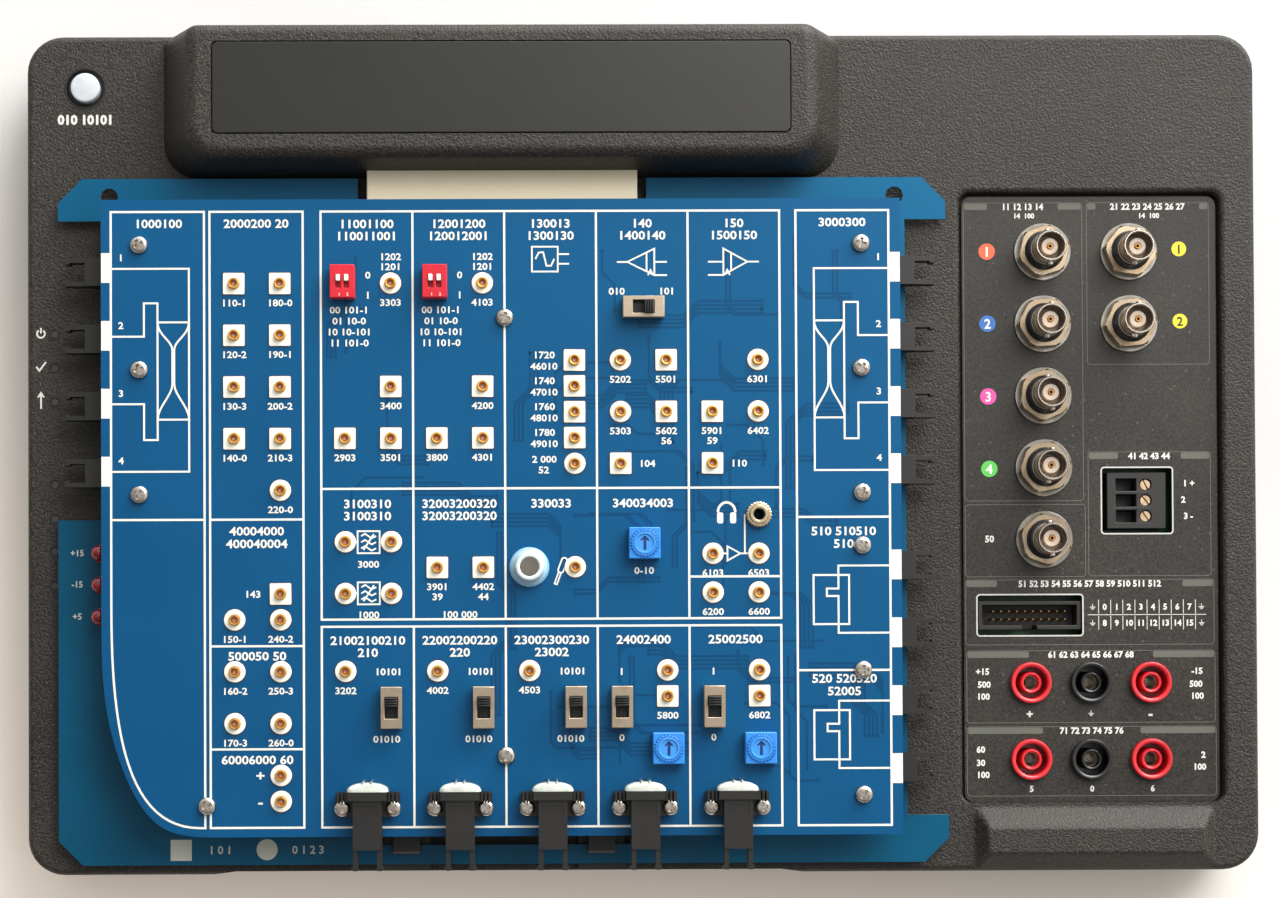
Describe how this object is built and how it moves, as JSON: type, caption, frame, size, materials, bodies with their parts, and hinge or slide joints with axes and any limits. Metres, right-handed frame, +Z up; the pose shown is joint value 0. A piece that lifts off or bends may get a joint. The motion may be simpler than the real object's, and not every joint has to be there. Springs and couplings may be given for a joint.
{
  "type": "electronics trainer board on bench console",
  "caption": "Fibre-optic communications trainer board docked in a black bench console with header housing, BNC jacks, banana sockets, terminal block and power button.",
  "frame": {"origin": "middle of the console's footprint, on the table", "axes": "+X to the right, +Y towards the header housing at the back, +Z up"},
  "size_m": [0.389, 0.2652, 0.0584],
  "materials": {
    "shell_black": "fine speckled grain",
    "rubber_black": "matte",
    "plate_black": "smooth satin",
    "panel_black": "satin with pale line print",
    "board_green": "solder mask",
    "moulded_black": "satin",
    "bright_metal": "nickel plated",
    "dielectric_white": "satin",
    "gold": "gold plated",
    "banana_red": "satin",
    "steel": "satin",
    "light_pipe": "clear, unlit",
    "cream": "satin",
    "board_teal": "solder mask with pale print",
    "board_blue": "solder mask with pale print",
    "dip_red": "satin",
    "white": "satin",
    "base_red": "satin",
    "trimmer_blue": "satin",
    "clear_resin": "translucent",
    "led_red": "translucent"
  },
  "bodies": {
    "console": {"console_top_shell": "shell_black", "console_bottom_shell": "shell_black", "rubber_feet": "rubber_black", "header_plate": "plate_black", "instrument_panel": "panel_black", "console_circuit_board": "board_green", "bnc_bodies": "moulded_black", "bnc_nuts": "bright_metal", "bnc_barrels": "bright_metal", "bnc_insulators": "dielectric_white", "bnc_contacts": "gold", "banana_sockets_red": "banana_red", "banana_sockets_black": "moulded_black", "banana_contacts": "bright_metal", "logic_header": "moulded_black", "logic_header_pins": "gold", "terminal_block": "moulded_black", "power_switch": "moulded_black", "power_button_spring": "steel", "status_light_pipes": "light_pipe", "board_socket": "cream", "board_socket_contacts": "gold", "rear_sockets": "bright_metal"},
    "trainer_board": {"main_board": "board_teal", "panel_board": "board_blue", "board_spacers": "steel", "interboard_header": "moulded_black", "patch_sockets": "gold", "dip_switch_bodies": "dip_red", "slide_switch_frames": "bright_metal", "slide_switch_bases": "base_red", "trimmer_bodies": "trimmer_blue", "headphone_jack": "steel", "microphone": "rubber_black", "fibre_modules": "moulded_black", "fibre_diodes": "clear_resin", "edge_fibre_housings": "moulded_black", "power_leds": "led_red"},
    "power_button": {"power_button": "moulded_black"},
    "latch_left": {"latch_left": "moulded_black"},
    "latch_right": {"latch_right": "moulded_black"},
    "terminal_screw_1": {"terminal_screw_1": "steel"},
    "terminal_screw_2": {"terminal_screw_2": "steel"},
    "terminal_screw_3": {"terminal_screw_3": "steel"},
    "dip_lever_1": {"dip_lever_1": "white"},
    "dip_lever_2": {"dip_lever_2": "white"},
    "dip_lever_3": {"dip_lever_3": "white"},
    "dip_lever_4": {"dip_lever_4": "white"},
    "slide_knob_1": {"slide_knob_1": "moulded_black"},
    "slide_knob_2": {"slide_knob_2": "moulded_black"},
    "slide_knob_3": {"slide_knob_3": "moulded_black"},
    "slide_knob_4": {"slide_knob_4": "moulded_black"},
    "slide_knob_5": {"slide_knob_5": "moulded_black"},
    "slide_knob_6": {"slide_knob_6": "moulded_black"},
    "trimmer_rotor_1": {"trimmer_rotor_1": "trimmer_blue"},
    "trimmer_rotor_2": {"trimmer_rotor_2": "trimmer_blue"},
    "trimmer_rotor_3": {"trimmer_rotor_3": "trimmer_blue"}
  },
  "joints": [
    {"name": "board_slide", "type": "slide", "parent": "console", "child": "trainer_board", "axis": [0, -1, 0], "range_m": [0, 0.012]},
    {"name": "power_button_press", "type": "slide", "parent": "console", "child": "power_button", "axis": [0, 0, -1], "range_m": [0, 0.002], "stiffness_N_per_m": 400, "springref_m": -0.001, "deforming": ["power_button_spring"]},
    {"name": "latch_left_slide", "type": "slide", "parent": "console", "child": "latch_left", "axis": [0, 1, 0], "range_m": [0, 0.003], "stiffness_N_per_m": 300, "springref_m": -0.002},
    {"name": "latch_right_slide", "type": "slide", "parent": "console", "child": "latch_right", "axis": [0, 1, 0], "range_m": [0, 0.003], "stiffness_N_per_m": 300, "springref_m": -0.002},
    {"name": "terminal_screw_1_turn", "type": "hinge", "parent": "console", "child": "terminal_screw_1", "pos_m": [0.1598, -0.0105, 0.027], "axis": [0, 0, 1], "range_deg": [-180, 180]},
    {"name": "terminal_screw_2_turn", "type": "hinge", "parent": "console", "child": "terminal_screw_2", "pos_m": [0.1598, -0.0155, 0.027], "axis": [0, 0, 1], "range_deg": [-180, 180]},
    {"name": "terminal_screw_3_turn", "type": "hinge", "parent": "console", "child": "terminal_screw_3", "pos_m": [0.1598, -0.0205, 0.027], "axis": [0, 0, 1], "range_deg": [-180, 180]},
    {"name": "dip_lever_1_slide", "type": "slide", "parent": "trainer_board", "child": "dip_lever_1", "axis": [0, -1, 0], "range_m": [0, 0.002]},
    {"name": "dip_lever_2_slide", "type": "slide", "parent": "trainer_board", "child": "dip_lever_2", "axis": [0, -1, 0], "range_m": [0, 0.002]},
    {"name": "dip_lever_3_slide", "type": "slide", "parent": "trainer_board", "child": "dip_lever_3", "axis": [0, -1, 0], "range_m": [0, 0.002]},
    {"name": "dip_lever_4_slide", "type": "slide", "parent": "trainer_board", "child": "dip_lever_4", "axis": [0, -1, 0], "range_m": [0, 0.002]},
    {"name": "slide_knob_1_slide", "type": "slide", "parent": "trainer_board", "child": "slide_knob_1", "axis": [0, -1, 0], "range_m": [0, 0.0033]},
    {"name": "slide_knob_2_slide", "type": "slide", "parent": "trainer_board", "child": "slide_knob_2", "axis": [0, -1, 0], "range_m": [0, 0.0033]},
    {"name": "slide_knob_3_slide", "type": "slide", "parent": "trainer_board", "child": "slide_knob_3", "axis": [0, -1, 0], "range_m": [0, 0.0033]},
    {"name": "slide_knob_4_slide", "type": "slide", "parent": "trainer_board", "child": "slide_knob_4", "axis": [0, -1, 0], "range_m": [0, 0.0033]},
    {"name": "slide_knob_5_slide", "type": "slide", "parent": "trainer_board", "child": "slide_knob_5", "axis": [0, -1, 0], "range_m": [0, 0.0033]},
    {"name": "slide_knob_6_slide", "type": "slide", "parent": "trainer_board", "child": "slide_knob_6", "axis": [-1, 0, 0], "range_m": [0, 0.0033]},
    {"name": "trimmer_1_turn", "type": "hinge", "parent": "trainer_board", "child": "trimmer_rotor_1", "pos_m": [-0.0008, -0.0293, 0.053], "axis": [0, 0, 1], "range_deg": [-130, 130]},
    {"name": "trimmer_2_turn", "type": "hinge", "parent": "trainer_board", "child": "trimmer_rotor_2", "pos_m": [0.0063, -0.0925, 0.053], "axis": [0, 0, 1], "range_deg": [-130, 130]},
    {"name": "trimmer_3_turn", "type": "hinge", "parent": "trainer_board", "child": "trimmer_rotor_3", "pos_m": [0.0347, -0.0925, 0.053], "axis": [0, 0, 1], "range_deg": [-130, 130]}
  ]
}
